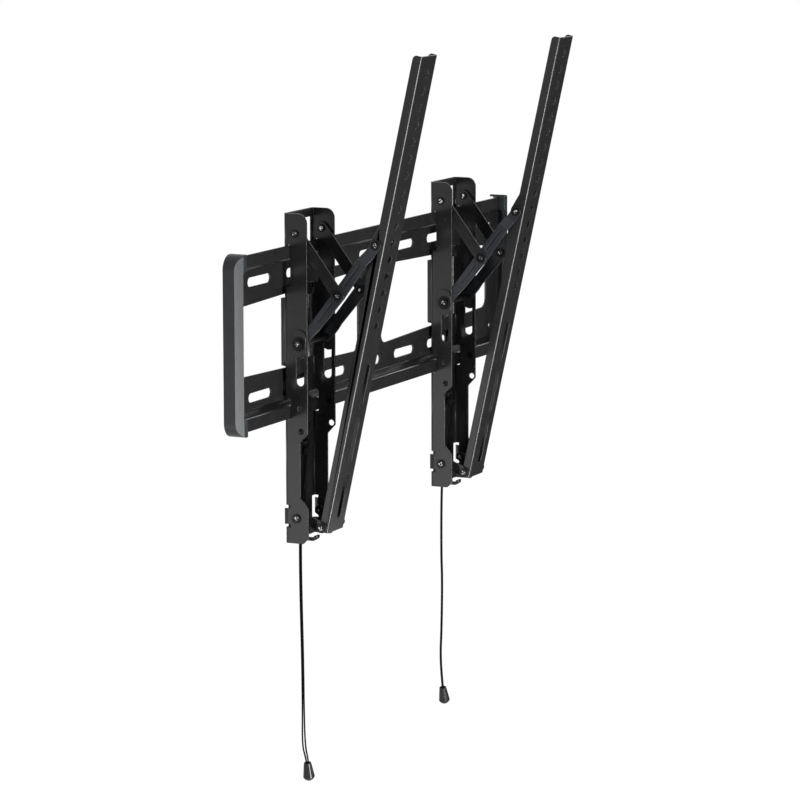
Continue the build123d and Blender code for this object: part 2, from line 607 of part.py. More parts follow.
# Shoulder screws at pivots T and P, fixed in the rail's flanges
with BuildPart() as rail_screws:
    flange_inner = RAIL_WIDTH / 2 - RAIL_SHEET
    for pivot, level in ((PIVOT_T, ARM_HEAD_LEVEL), (PIVOT_P, LOWER_LINK_OUTER)):
        for hand in (-1, 1):
            seat = hand * (level + SIDE_GAP / 3)
            head = seat + hand * SCREW_HEAD_HEIGHT
            step(pivot, SCREW_HEAD_RADIUS, head, seat)
            step(pivot, PIN_RADIUS, seat, hand * flange_inner)
            collar = hand * (flange_inner - RIVET_HEAD_HEIGHT)
            step(pivot, SCREW_COLLAR_RADIUS, hand * flange_inner, collar)
            cross_recess(pivot, head)
write_pair(rail_screws.part, "rail_screws")

# Long arm: two joggled plates from pivot S to pivot T
with BuildPart() as arm_outer:
    overrun = 2 * ARM_MIDDLE
    with BuildSketch(ARM_EDGE) as arm_section:
        with BuildLine():
            FilletPolyline(
                (-overrun, -ARM_FOOT_LEVEL),
                (ARM_JOGGLE_FOOT[0], -ARM_FOOT_LEVEL),
                (ARM_JOGGLE_FOOT[1], -ARM_LEVEL),
                (ARM_LENGTH - ARM_JOGGLE_HEAD[0], -ARM_LEVEL),
                (ARM_LENGTH - ARM_JOGGLE_HEAD[1], -ARM_HEAD_LEVEL),
                (ARM_LENGTH + overrun, -ARM_HEAD_LEVEL),
                radius=ARM_BEND,
            )
            offset(amount=ARM_SHEET, side=Side.LEFT)
        make_face()
    extrude(amount=overrun, both=True)
    with BuildSketch(SIDE) as arm_outline:
        with Locations(PIVOT_S, PIVOT_T):
            Circle(ARM_END)
        with Locations(PIVOT_B):
            Circle(ARM_MIDDLE)
        make_hull()
    extrude(amount=OUTER_HALF, both=True, mode=Mode.INTERSECT)
    step(PIVOT_S, PIN_RADIUS, -OUTER_HALF, 0, Mode.SUBTRACT)
    step(PIVOT_T, PIN_RADIUS + RUN_RADIAL, -OUTER_HALF, 0, Mode.SUBTRACT)
    step(PIVOT_B, CROSS_PIN_RADIUS + PIVOT_PLAY, -OUTER_HALF, 0, Mode.SUBTRACT)
    with BuildSketch(side_view(-ARM_LEVEL)) as arm_grooves:
        with Locations(Location((*PIVOT_S, 0), (0, 0, 90 - degrees(ARM_LEAN)))):
            for start, end in ARM_GROOVE_RUNS:
                with Locations(((start + end) / 2, 0)):
                    SlotOverall(end - start, ARM_GROOVE[0])
    extrude(amount=-ARM_GROOVE[1], mode=Mode.SUBTRACT)
write_pair(arm_outer.part, "arm_outer")

with BuildPart() as arm_inner:
    mirror(arm_outer.part, about=Plane.YZ)
write_pair(arm_inner.part, "arm_inner")

# Slide rod at pivot S: through both flange slots, fixed in the arm's plates
with BuildPart() as slide_rod:
    step(PIVOT_S, PIN_RADIUS, -WASHER_STACK, PLATE_STACK)
    step(PIVOT_S, ROD_HEAD_RADIUS, PLATE_STACK, PLATE_STACK + RIVET_HEAD_HEIGHT)
write_pair(slide_rod.part, "slide_rod")

# Friction plates on the rod, one outside each flange
with BuildPart() as friction_plate_outer:
    with BuildSketch(side_view(-OUTER_HALF - SIDE_GAP)) as friction_outline:
        with Locations(PIVOT_S):
            SlotOverall(FRICTION_PLATE[0], FRICTION_PLATE[1], rotation=90)
            Circle(PIN_RADIUS + RUN_RADIAL, mode=Mode.SUBTRACT)
    extrude(amount=FRICTION_PLATE[2])
write_pair(friction_plate_outer.part, "friction_plate_outer")

with BuildPart() as friction_plate_inner:
    mirror(friction_plate_outer.part, about=Plane.YZ)
write_pair(friction_plate_inner.part, "friction_plate_inner")

with BuildPart() as slide_washer:
    step(PIVOT_S, WASHER_RADIUS, -WASHER_STACK, -PLATE_STACK)
    step(PIVOT_S, PIN_RADIUS, -WASHER_STACK, -PLATE_STACK, Mode.SUBTRACT)
write_pair(slide_washer.part, "slide_washer")

with BuildPart() as clamp_screw:
    clamp_head = -WASHER_STACK - SCREW_HEAD_HEIGHT
    step(PIVOT_S, SCREW_HEAD_RADIUS, clamp_head, -WASHER_STACK)
    cross_recess(PIVOT_S, clamp_head)
write_pair(clamp_screw.part, "clamp_screw")

# Short link: two flat plates from pivot A to pivot B
with BuildPart() as short_link_outer:
    with BuildSketch(side_view(-LINK_OUTER)) as link_outline:
        with Locations(PIVOT_A, PIVOT_B):
            Circle(LINK_END)
        make_hull()
        with Locations(PIVOT_A):
            Circle(PIN_RADIUS + RUN_RADIAL, mode=Mode.SUBTRACT)
        with Locations(PIVOT_B):
            Circle(CROSS_PIN_RADIUS, mode=Mode.SUBTRACT)
    extrude(amount=-LINK_SHEET)
write_pair(short_link_outer.part, "short_link_outer")

with BuildPart() as short_link_inner:
    mirror(short_link_outer.part, about=Plane.YZ)
write_pair(short_link_inner.part, "short_link_inner")

# Scissor pins at pivot B: a stub on each side, fixed in the short link, so that the rail can pass between
with BuildPart() as scissor_pins:
    inner_seat = ARM_LEVEL - ARM_SHEET - SIDE_GAP
    for hand in (-1, 1):
        head = hand * (LINK_OUTER + LOW_HEAD_HEIGHT)
        step(PIVOT_B, SCREW_HEAD_RADIUS, head, hand * LINK_OUTER)
        step(PIVOT_B, CROSS_PIN_RADIUS, hand * LINK_OUTER, hand * inner_seat)
        step(PIVOT_B, SCREW_HEAD_RADIUS, hand * inner_seat, hand * (inner_seat - LOW_HEAD_HEIGHT))
        cross_recess(PIVOT_B, head)
write_pair(scissor_pins.part, "scissor_pins")

# Latch: a plate that rises behind the lower band, with a tail for the cord
with BuildPart() as latch:
    with BuildSketch(FRONT.offset(LATCH_BACK)) as latch_outline:
        with Locations((0, (LATCH_TOP + LATCH_BOTTOM) / 2)):
            Rectangle(LATCH_WIDTH, LATCH_TOP - LATCH_BOTTOM)
        chamfer(latch_outline.vertices().group_by(Axis.Y)[-1], LATCH_NOSE_CUT)
        slot_length = 2 * (GUIDE_RADIUS + RUN_RADIAL) + LATCH_TRAVEL
        with Locations((0, GUIDE_HEIGHT + LATCH_TRAVEL / 2)):
            with GridLocations(GUIDE_SPACING, 0, 2, 1):
                SlotOverall(
                    slot_length, 2 * (GUIDE_RADIUS + RUN_RADIAL), rotation=90, mode=Mode.SUBTRACT
                )
    extrude(amount=LATCH_SHEET)
    with BuildSketch(Plane.XY.offset(LATCH_BOTTOM)) as latch_tail:
        tail_tip = LATCH_BACK + LATCH_TAIL_REACH
        with Locations((LATCH_TAIL_CENTRE, -(LATCH_BACK + tail_tip) / 2)):
            Rectangle(LATCH_TAIL_WIDTH, LATCH_TAIL_REACH)
        with Locations((LATCH_TAIL_CENTRE, LATCH_TAIL_WIDTH / 2 - tail_tip)):
            Circle(LATCH_TAIL_WIDTH / 2)
            Circle(CORD_EYE_RADIUS, mode=Mode.SUBTRACT)
    extrude(amount=LATCH_SHEET)
write_pair(latch.part, "latch")

# Shoulder rivets that guide the latch on the web, and the rivet on the right flange beside it
with BuildPart() as latch_guides:
    for x in (-GUIDE_SPACING / 2, GUIDE_SPACING / 2):
        with BuildSketch(FRONT.offset(WEB_FRONT)) as guide_shank:
            with Locations((x, GUIDE_HEIGHT)):
                Circle(GUIDE_RADIUS)
        extrude(amount=LATCH_FRONT + SIDE_GAP - WEB_FRONT)
        with BuildSketch(FRONT.offset(LATCH_FRONT + SIDE_GAP)) as guide_head:
            with Locations((x, GUIDE_HEIGHT)):
                Circle(GUIDE_HEAD_RADIUS)
        extrude(amount=LOW_HEAD_HEIGHT)
    step(SIDE_RIVET, FLANGE_HOLE, INNER_HALF - LOW_HEAD_HEIGHT, INNER_HALF)
write_pair(latch_guides.part, "latch_guides")

# Cord's loop through the eye in the latch's tail and round its tip, and the knot below it
with BuildPart() as cord_loop:
    eye_depth = tail_tip - LATCH_TAIL_WIDTH / 2
    loop_front = tail_tip + LOOP_GAP
    loop_top = LATCH_BOTTOM + LATCH_SHEET + LOOP_GAP
    knot_depth = (eye_depth + loop_front) / 2
    foot = KNOT_RADIUS - 2 * CORD_RADIUS
    with BuildLine(side_view(LATCH_TAIL_CENTRE)) as loop_line:
        FilletPolyline(
            (knot_depth - foot, KNOT_TOP + CORD_END_GAP),
            (eye_depth, LATCH_BOTTOM),
            (eye_depth, loop_top),
            (loop_front, loop_top),
            (loop_front, LATCH_BOTTOM),
            (knot_depth + foot, KNOT_TOP + CORD_END_GAP),
            radius=2 * CORD_RADIUS,
        )
    with BuildSketch(Plane(loop_line.line @ 0, z_dir=loop_line.line % 0)):
        Circle(CORD_RADIUS)
    sweep(path=loop_line.wires()[0])
write_pair(cord_loop.part, "cord_loop")

with BuildPart() as cord_knot:
    with BuildSketch(Plane.XY.offset(KNOT_BOTTOM)) as knot_round:
        with Locations((LATCH_TAIL_CENTRE, -knot_depth)):
            Circle(KNOT_RADIUS)
    extrude(amount=KNOT_TOP - KNOT_BOTTOM)
    chamfer(cord_knot.edges().filter_by(GeomType.CIRCLE), CORD_RADIUS)
write_pair(cord_knot.part, "cord_knot")

# Pull cord's two strands and the toggle on their ends
for side, centre in SIDES.items():
    route = CORD_ROUTES[side]
    along, out = SPREAD_WAY[side]
    for strand, hand in (("front", 1), ("rear", -1)):
        points = [
            (centre + x + hand * along * spread, -depth - hand * out * spread, KNOT_BOTTOM - drop)
            for x, depth, drop, spread in route
        ]
        vectors = [Vector(*point) for point in points]
        radii = []
        for before, here, after in zip(vectors, vectors[1:], vectors[2:]):
            bend = (here - before).get_angle(after - here)
            shorter = min((here - before).length, (after - here).length)
            radii.append(0.45 * shorter / sin(radians(bend / 2)) * cos(radians(bend / 2)))
        print("cord", side, strand, "bend radii", [round(radius) for radius in radii])
        with BuildPart() as cord:
            with BuildLine() as cord_line:
                FilletPolyline(*points, radius=radii)
            with BuildSketch(Plane(points[0], z_dir=vectors[1] - vectors[0])):
                Circle(CORD_RADIUS)
            sweep(path=cord_line.wires()[0])
        write(cord.part, f"cord_{strand}_{side}")
    bore_radius, bore_depth = TOGGLE_BORE
    toggle_top = bore_depth - CORD_RADIUS
    toggle_wide = toggle_top - TOGGLE_WIDEST * TOGGLE_HEIGHT
    with BuildPart() as toggle:
        with BuildSketch(Plane.XZ) as toggle_half:
            with BuildLine():
                Polyline(
                    (0, toggle_top - bore_depth),
                    (bore_radius, toggle_top - bore_depth),
                    (bore_radius, toggle_top),
                    (TOGGLE_TOP_RADIUS, toggle_top),
                )
                Line((TOGGLE_TOP_RADIUS, toggle_top), (TOGGLE_WIDE_RADIUS, toggle_wide))
                TangentArc(
                    (0, toggle_top - TOGGLE_HEIGHT), (TOGGLE_WIDE_RADIUS, toggle_wide), tangent=(1, 0)
                )
                Line((0, toggle_top - TOGGLE_HEIGHT), (0, toggle_top - bore_depth))
            make_face()
        revolve(axis=Axis.Z)
    ends = [Vector(centre + x, -depth, KNOT_BOTTOM - drop) for x, depth, drop, spread in route[-2:]]
    hung = Plane(ends[1], z_dir=ends[0] - ends[1])
    write(toggle.part.moved(hung.location), f"cord_toggle_{side}")
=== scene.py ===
# %% [markdown]
# Tilting TV wall bracket
#
# A bracket that holds a flat TV on a wall and lets it lean forward. A folded steel plate is screwed to the
# wall, two steel uprights hook onto it, and on each upright a scissor linkage carries the rail that the TV is
# screwed to. Two cords with toggles pull the latches that lock the uprights to the plate.
#
# The CAD model already has the true shape of every piece, so this file adds what a CAD model lacks: the
# finish of the coat, the small rounding of sheared edges, the cords' braid, the glint in the screws, the
# light and the camera. Lengths are metres, Z is up, X runs along the wall and Y points into the wall.

import json
from math import pi, radians

import bpy
import numpy as np
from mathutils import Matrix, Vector


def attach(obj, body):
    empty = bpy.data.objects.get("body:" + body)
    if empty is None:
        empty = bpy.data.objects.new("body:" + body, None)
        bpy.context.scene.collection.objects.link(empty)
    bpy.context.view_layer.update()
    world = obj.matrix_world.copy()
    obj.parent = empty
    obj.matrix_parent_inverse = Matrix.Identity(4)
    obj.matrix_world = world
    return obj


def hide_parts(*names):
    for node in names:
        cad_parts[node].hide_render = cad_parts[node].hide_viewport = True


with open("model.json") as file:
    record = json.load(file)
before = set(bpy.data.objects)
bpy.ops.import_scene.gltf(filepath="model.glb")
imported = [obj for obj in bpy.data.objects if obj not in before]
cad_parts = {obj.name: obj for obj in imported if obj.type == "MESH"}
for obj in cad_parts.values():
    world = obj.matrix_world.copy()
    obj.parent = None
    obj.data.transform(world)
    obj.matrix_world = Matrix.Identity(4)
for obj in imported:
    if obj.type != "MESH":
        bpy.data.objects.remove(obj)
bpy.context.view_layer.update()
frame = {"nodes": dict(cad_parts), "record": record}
nodes = frame["nodes"]
SIDES = {"left": -0.200, "right": 0.200}  # X of each upright's centre
scene = bpy.context.scene

# %% [markdown]
# Camera
#
# The photograph was taken from the left, a little above the plate, with a long lens, so that upright
# edges stay almost upright. A camera can be moved by hand until the picture fits, but an error in the
# lens then hides behind one in the distance. Here place, direction and lens were worked out together,
# from points of the bracket whose places are known. The direction is a turn about Z and a dip below the
# horizon, and the small shift slides the picture without changing the perspective.

# %% Make the camera
CAMERA_PLACE = (-3.9737, -1.9337, 0.5911)
CAMERA_TURN = 65.563  # degrees from +Y towards +X
CAMERA_DIP = 7.826
CAMERA_LENS = 165.12  # millimetres, on a sensor 36 wide
CAMERA_SHIFT = (-0.0821, -0.10)

camera_data = bpy.data.cameras.new("camera")
camera_data.lens = CAMERA_LENS
camera_data.sensor_width = 36.0
camera_data.shift_x, camera_data.shift_y = CAMERA_SHIFT
camera_data.clip_end = 100.0
camera = bpy.data.objects.new("camera", camera_data)
camera.location = CAMERA_PLACE
camera.rotation_euler = (radians(90 - CAMERA_DIP), 0, radians(-CAMERA_TURN))
scene.collection.objects.link(camera)
scene.camera = camera
print("camera:", camera_data.lens, "mm lens at", CAMERA_PLACE)

# %% [markdown]
# Shader maths
#
# A material is a small program made of nodes, and wiring nodes by hand hides the formula that they stand
# for. The class below wraps one output socket, so that sums and products of sockets are written as
# Python expressions and each operator adds one Math node. One method makes every other kind of node.


# %% A socket that does arithmetic
class Shade:
    """One output socket of a node tree, with operators that add Math nodes."""

    def __init__(self, tree, socket):
        self.tree = tree
        self.socket = socket

    def node(self, kind, settings=None, output=0, **inputs):
        """Adds a node, sets it up, fills its inputs, by name or as i and a number, and returns an output."""
        made = self.tree.nodes.new(kind)
        for name, value in (settings or {}).items():
            setattr(made, name, value)
        for name, value in inputs.items():
            numbered = name[0] == "i" and name[1:].isdigit()
            place = made.inputs[int(name[1:]) if numbered else name]
            if isinstance(value, Shade):
                self.tree.links.new(value.socket, place)
            else:
                place.default_value = value
        return Shade(self.tree, made.outputs[output])

    def math(self, operation, other=0.0, flip=False):
        """One Math node on this value and another, in that order or flipped."""
        first, second = (other, self) if flip else (self, other)
        return self.node("ShaderNodeMath", {"operation": operation}, i0=first, i1=second)

    def __add__(self, other):
        return self.math("ADD", other)

    def __radd__(self, other):
        return self.math("ADD", other, flip=True)

    def __sub__(self, other):
        return self.math("SUBTRACT", other)

    def __rsub__(self, other):
        return self.math("SUBTRACT", other, flip=True)

    def __mul__(self, other):
        return self.math("MULTIPLY", other)

    def __rmul__(self, other):
        return self.math("MULTIPLY", other, flip=True)

    def clamp(self, low, high):
        """This value from low to high, mapped to 0 to 1 and held there."""
        return self.node(
            "ShaderNodeMapRange", {"clamp": True}, Value=self, **{"From Min": low, "From Max": high}
        )


# %% Helpers for materials
def new_material(name):
    """A material with one Principled shader, and a Shade of its Object coordinates to start from."""
    material = bpy.data.materials.new(name)
    material.use_nodes = True
    tree = material.node_tree
    shader = tree.nodes["Principled BSDF"]
    coordinates = tree.nodes.new("ShaderNodeTexCoord")
    return material, shader, Shade(tree, coordinates.outputs["Object"])


def feed(shader, name, shade):
    """Link a Shade to one input of a shader."""
    shade.tree.links.new(shade.socket, shader.inputs[name])


def mix(mask, dark, light):
    """A colour that goes from dark to light as the mask goes from 0 to 1.

    A Mix node has sockets for every type of data: its colours are inputs 6 and 7 and output 2.
    """
    return mask.node(
        "ShaderNodeMix",
        {"data_type": "RGBA"},
        output=2,
        i0=mask,
        i6=(*dark, 1.0),
        i7=(*light, 1.0),
    )


# %% [markdown]
# Powder coat
#
# The bracket's steel is coated with a black powder that is sprayed on dry and baked. It flows into a
# skin with a fine orange peel, half a millimetre from crest to crest, and it is satin: it shows a soft
# light but no picture of the room. An image of such a coat would need unwrapped pieces and would repeat.
# Noises on Object coordinates do neither, and their grain has the same size on every piece. One noise is
# the peel, one is fine grit and one a faint cloudiness in the sheen. The arms of the linkage get a
# slightly bluer and lighter copy of the coat than the rest, a painted reflection of the light they catch.

# %% Coated steel
RELIEF = 0.0002  # metres of height that a bump's pattern stands for


def powder_coat(name, dark, light, roughness, specular):
    """Grit and cloud lead the colour from dark to light and add roughness, and peel and grit make bumps."""
    material, shader, place = new_material(name)
    peel = place.node("ShaderNodeTexNoise", Vector=place, Scale=1500.0, Detail=2.0)
    grit = place.node("ShaderNodeTexNoise", Vector=place, Scale=5200.0, Detail=1.0)
    cloud = place.node("ShaderNodeTexNoise", Vector=place, Scale=38.0, Detail=3.0)
    speck = grit.clamp(0.55, 0.75)
    feed(shader, "Base Color", mix(speck * 0.5 + cloud.clamp(0.35, 0.7) * 0.4, dark, light))
    feed(shader, "Roughness", roughness - 0.05 + cloud.clamp(0.3, 0.7) * 0.06 + speck * 0.06)
    bump = place.node("ShaderNodeBump", Height=peel + grit * 0.4, Strength=0.10, Distance=RELIEF)
    feed(shader, "Normal", bump)
    shader.inputs["Specular IOR Level"].default_value = specular
    return material


black_steel = powder_coat("black_steel", (0.0078, 0.0078, 0.0079), (0.0118, 0.0118, 0.0120), 0.22, 0.29)
# the arms: a lighter, bluer copy of the black coat, painted reflection of the light that they catch
arm_steel = powder_coat("arm_steel", (0.0125, 0.0138, 0.0163), (0.0184, 0.0202, 0.0238), 0.26, 0.26)
print("coats:", black_steel.name, arm_steel.name)

# %% [markdown]
# Moulded plastic
#
# The end caps and the toggles are moulded plastic. The mould of a cover is etched with a fine grain so
# that it doesn't look shiny, while the toggles come from a polished mould. The grain is finer than the
# picture can show, so it needs no geometry and a bump is enough. A Voronoi pattern gives the small cells
# of an etched grain, deep for the caps and shallow for the toggles, and a noise breaks the sheen up a
# little.


# %% Plastics
def moulded_plastic(name, dark, light, roughness, etching):
    """Cloud takes the colour from dark to light and adds to the roughness, and grain makes bumps."""
    material, shader, place = new_material(name)
    grain = place.node("ShaderNodeTexVoronoi", Vector=place, Scale=1700.0)
    cloud = place.node("ShaderNodeTexNoise", Vector=place, Scale=60.0, Detail=3.0)
    feed(shader, "Base Color", mix(cloud.clamp(0.3, 0.7), dark, light))
    feed(shader, "Roughness", roughness + cloud.clamp(0.3, 0.7) * 0.06)
    bump = place.node("ShaderNodeBump", Height=grain, Strength=etching, Distance=RELIEF)
    feed(shader, "Normal", bump)
    shader.inputs["Specular IOR Level"].default_value = 0.25
    return material


cap_plastic = moulded_plastic("cap_plastic", (0.0122, 0.0140, 0.0156), (0.0157, 0.0178, 0.0197), 0.34, 0.14)
toggle_plastic = moulded_plastic("toggle_plastic", (0.009, 0.009, 0.009), (0.012, 0.012, 0.012), 0.16, 0.02)
print("plastics:", cap_plastic.name, toggle_plastic.name)

# %% [markdown]
# Screws
#
# The screws and rivets are steel with a black finish. A driver wears the finish off in the recess, and
# bare steel flashes there. The bright patches are that wear and also a painted glint: bright metal that
# mirrors the white surround from every side. The patches could be painted on each head by hand, but one
# rule does it for all. Nearly every screw and rivet turns about one of six pivots, and each pivot is a
# line along X, so a point's distance from the nearest of these lines tells where on a head it lies. Noise
# breaks the bright patch up.

# %% Screw steel
# Depth and height of each pivot in millimetres
PIVOTS = ((20.2, 114.6), (25.1, -13.0), (116.7, 104.5), (72.5, 45.0), (19.8, -218.4), (45.6, -229.8))
BARE_GLINT_RADIUS = 0.0022
BLACK_RADIUS = 0.0030


def blackened_steel(name):
    """Black steel with wear and painted glint where a noise is high near a pivot, from the bare radius to the
    black one.
    """
    material, shader, place = new_material(name)
    y = place.node("ShaderNodeSeparateXYZ", output=1, Vector=place)
    z = place.node("ShaderNodeSeparateXYZ", output=2, Vector=place)
    nearest = None
    for depth, height in PIVOTS:
        away = ((y + depth / 1000).math("POWER", 2.0) + (z - height / 1000).math("POWER", 2.0)).math("SQRT")
        nearest = away if nearest is None else nearest.math("MINIMUM", away)
    # painted glint and wear: near a pivot, where the noise is high, the colour turns to bright metal
    wear_glint_patches = place.node("ShaderNodeTexNoise", Vector=place, Scale=520.0, Detail=2.0).clamp(0.52, 0.60)
    wear_and_glint = wear_glint_patches * nearest.clamp(BLACK_RADIUS, BARE_GLINT_RADIUS)
    feed(shader, "Base Color", mix(wear_and_glint, (0.008, 0.008, 0.009), (0.72, 0.72, 0.74)))
    feed(shader, "Roughness", 0.30 - wear_and_glint * 0.08)
    shader.inputs["Metallic"].default_value = 0.85
    return material


screw_steel = blackened_steel("screw_steel")
print("screws:", screw_steel.name)

# %% [markdown]
# Finishes
#
# Every piece of the CAD model carries the name of its finish in the frame's record. Materials could be
# given piece by piece, but a table from these names to the materials dresses all pieces in one loop. The
# loops and knots of the cords get their braid further down.

# %% Give the CAD pieces their finish
FINISHES = {
    "black_steel": black_steel,
    "arm_steel": arm_steel,
    "screw_steel": screw_steel,
    "cap_plastic": cap_plastic,
    "toggle_plastic": toggle_plastic,
}
for part in frame["record"]["subparts"]:
    finish = FINISHES.get(part["material_slot"])
    if finish:
        nodes[part["node"]].data.materials.clear()
        nodes[part["node"]].data.materials.append(finish)
print("finishes:", ", ".join(FINISHES))

# %% [markdown]
# Cords
#
# From each latch two thin strands of one braided cord hang to a toggle. A hanging cord is close to
# straight, with the slow waves that it keeps from its packing. A simulation would let it fall, but
# without those waves. A NURBS curve follows a few control points smoothly, so it can be laid as the
# photograph shows the cord, and its round bevel gives it its thickness. Each point of a route has four
# numbers, in millimetres: the place along X from the upright's centre, the depth in front of the wall,
# the drop below the knot, and how far each strand lies from the middle of the pair.

# %% Route the cords
CORD_RADIUS = 0.0010
KNOT_BOTTOM = -147.0
CORD_ROUTES = {
    "left": (
        (-7.0, 17.7, 0.3, 1.05),
        (-8.4, 14.6, 31.0, 1.05),
        (-10.2, 12.4, 65.0, 1.05),
        (-13.4, 12.4, 105.0, 1.05),
        (-12.4, 12.4, 170.0, 1.05),
        (-9.0, 12.4, 243.0, 1.05),
        (-8.2, 12.4, 310.0, 1.05),
        (-7.6, 12.4, 350.0, 2.0),
        (0.6, 12.4, 367.3, 1.35),
        (3.0, 12.4, 378.3, 1.25),
    ),
    "right": (
        (-7.0, 17.7, 0.3, 1.2),
        (-7.5, 14.6, 31.0, 1.2),
        (-12.0, 12.4, 65.0, 1.2),
        (-19.5, 12.4, 103.0, 1.2),
        (-20.5, 12.4, 192.5, 1.2),
        (-17.5, 12.4, 223.0, 1.2),
        (-19.8, 12.4, 289.0, 1.2),
        (-23.5, 12.4, 322.0, 1.2),
        (-17.5, 12.4, 360.5, 1.2),
        (-14.7, 12.4, 370.5, 1.2),
    ),
}
SPREAD_WAY = {"left": (0, -1, 0), "right": (1, 0, 0)}
print("routes:", ", ".join(f"{side} {len(route)} points" for side, route in CORD_ROUTES.items()))


# %% Braid
def braid(name):
    """Two families of diagonal ridges along the cord, from waves that run up and down it, with painted shade
    in the grooves between them.
    """
    material, shader, place = new_material(name)
    waves = [
        place.node(
            "ShaderNodeTexWave",
            {"wave_type": "BANDS", "bands_direction": "DIAGONAL"},
            Vector=place.node("ShaderNodeMapping", Vector=place, Scale=(turn, turn, 1.0)),
            Scale=260.0,
        )
        for turn in (1.0, -1.0)
    ]
    ridges_and_groove_shade = waves[0].math("MAXIMUM", waves[1])
    # painted shade: the colour is darker in the grooves between the ridges and lighter on their crests
    feed(shader, "Base Color", mix(ridges_and_groove_shade, (0.0008, 0.0008, 0.0007), (0.0045, 0.0043, 0.0040)))
    feed(shader, "Normal", place.node("ShaderNodeBump", Height=ridges_and_groove_shade, Strength=0.4, Distance=RELIEF))
    shader.inputs["Roughness"].default_value = 0.85
    shader.inputs["Specular IOR Level"].default_value = 0.04
    return material


cord_braid = braid("cord_braid")
print("braid:", cord_braid.name)


# %% Hang the cords
def hang_cord(name, points):
    """A round cord along a NURBS line with these control points."""
    curve = bpy.data.curves.new(name, "CURVE")
    curve.dimensions = "3D"
    curve.bevel_depth = CORD_RADIUS
    curve.bevel_resolution = 3
    curve.resolution_u = 8
    curve.use_fill_caps = True
    spline = curve.splines.new("NURBS")
    spline.points.add(len(points) - 1)
    spline.points.foreach_set("co", np.column_stack([points, np.ones(len(points))]).ravel())
    spline.order_u = 3
    spline.use_endpoint_u = True
    curve.materials.append(cord_braid)
    cord = bpy.data.objects.new(name, curve)
    scene.collection.objects.link(cord)
    return cord


for side, centre in SIDES.items():
    across, depth, drop, spread = np.array(CORD_ROUTES[side]).T / 1000
    route = np.column_stack([centre + across, -depth, KNOT_BOTTOM / 1000 - drop])
    for strand, hand in (("front", 1), ("rear", -1)):
        points = route + hand * np.outer(spread, SPREAD_WAY[side])
        cord = hang_cord(f"pull_cord_{strand}_{side}", points)
        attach(cord, f"latch_{side}")
        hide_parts(f"cord_{strand}_{side}")
    for piece in ("cord_loop", "cord_knot"):
        nodes[f"{piece}_{side}"].data.materials.clear()
        nodes[f"{piece}_{side}"].data.materials.append(cord_braid)

# %% [markdown]
# Edges
#
# Sheared steel never has a perfectly sharp edge, and the coat rounds it further. That rounding shows as
# a thin light line along every flange. The CAD could have it, at the cost of thousands of small faces,
# but modifiers add it here and leave the true shape alone. The CAD meshes are loose triangles, so a Weld
# joins them and a Decimate makes one face of each flat. A node group then shades all faces smooth, so
# that a fold's facets blend, and marks the edges where two faces meet at more than 40 degrees. A Bevel
# rounds the marked edges, and a Weighted Normal keeps the big faces flat. On the uprights only the edges
# in front of the plate and above the foot are marked, because the pressed forms elsewhere have edges too
# short to round.

# %% Mark the edges to round
SHARP_ANGLE = radians(40)


def edge_marker():
    """A node group that shades faces smooth and gives sharp edges within two limits a bevel weight of 1."""
    group = bpy.data.node_groups.new("edge_marker", "GeometryNodeTree")
    for name, way, kind in (
        ("Geometry", "OUTPUT", "NodeSocketGeometry"),
        ("Geometry", "INPUT", "NodeSocketGeometry"),
        ("Hindmost", "INPUT", "NodeSocketFloat"),
        ("Lowest", "INPUT", "NodeSocketFloat"),
    ):
        group.interface.new_socket(name, in_out=way, socket_type=kind)
    given = group.nodes.new("NodeGroupInput")
    mesh, hindmost, lowest = [Shade(group, socket) for socket in given.outputs[:3]]
    place = mesh.node("GeometryNodeInputPosition")
    y = place.node("ShaderNodeSeparateXYZ", output=1, Vector=place)
    z = place.node("ShaderNodeSeparateXYZ", output=2, Vector=place)
    sharp = mesh.node("GeometryNodeInputMeshEdgeAngle").math("GREATER_THAN", SHARP_ANGLE)
    weight = sharp * y.math("LESS_THAN", hindmost) * z.math("GREATER_THAN", lowest)
    for domain in ("FACE", "EDGE"):
        mesh = mesh.node("GeometryNodeSetShadeSmooth", {"domain": domain}, i0=mesh)
    marked = mesh.node(
        "GeometryNodeStoreNamedAttribute",
        {"domain": "EDGE", "data_type": "FLOAT"},
        i0=mesh,
        Name="bevel_weight_edge",
        Value=weight,
    )
    group.links.new(marked.socket, group.nodes.new("NodeGroupOutput").inputs[0])
    return group


marker = edge_marker()
limit_keys = [item.identifier for item in marker.interface.items_tree if item.name in ("Hindmost", "Lowest")]
print("edge marker:", len(marker.nodes), "nodes")

# %% Round the edges
EDGE_ROUNDING = {
    "black_steel": 0.0005,
    "arm_steel": 0.0005,
    "cap_plastic": 0.0006,
    "screw_steel": 0.0003,
    "toggle_plastic": 0.0004,
}
EVERYWHERE = (10.0, -10.0)  # hindmost Y and lowest Z of an edge that is rounded
UPRIGHT_LIMITS = (-0.0095, -0.2465)
SAME_POINT = 0.000005
SAME_PLANE = radians(1.0)
FLAT_FACE_WEIGHT = 80
for part in frame["record"]["subparts"]:
    width = EDGE_ROUNDING.get(part["material_slot"])
    if not width:
        continue
    node = nodes[part["node"]]
    weld = node.modifiers.new("weld", "WELD")
    weld.merge_threshold = SAME_POINT
    flat = node.modifiers.new("flat", "DECIMATE")
    flat.decimate_type = "DISSOLVE"
    flat.angle_limit = SAME_PLANE
    mark = node.modifiers.new("mark", "NODES")
    mark.node_group = marker
    limits = UPRIGHT_LIMITS if part["node"].startswith("upright") else EVERYWHERE
    for key, limit in zip(limit_keys, limits):
        mark[key] = limit
    bevel = node.modifiers.new("bevel", "BEVEL")
    bevel.width = width
    bevel.segments = 2
    bevel.limit_method = "WEIGHT"
    bevel.use_clamp_overlap = False
    node.modifiers.new("even", "WEIGHTED_NORMAL").weight = FLAT_FACE_WEIGHT
print("rounded edges on", sum(bool(n.modifiers) for n in nodes.values()), "pieces")

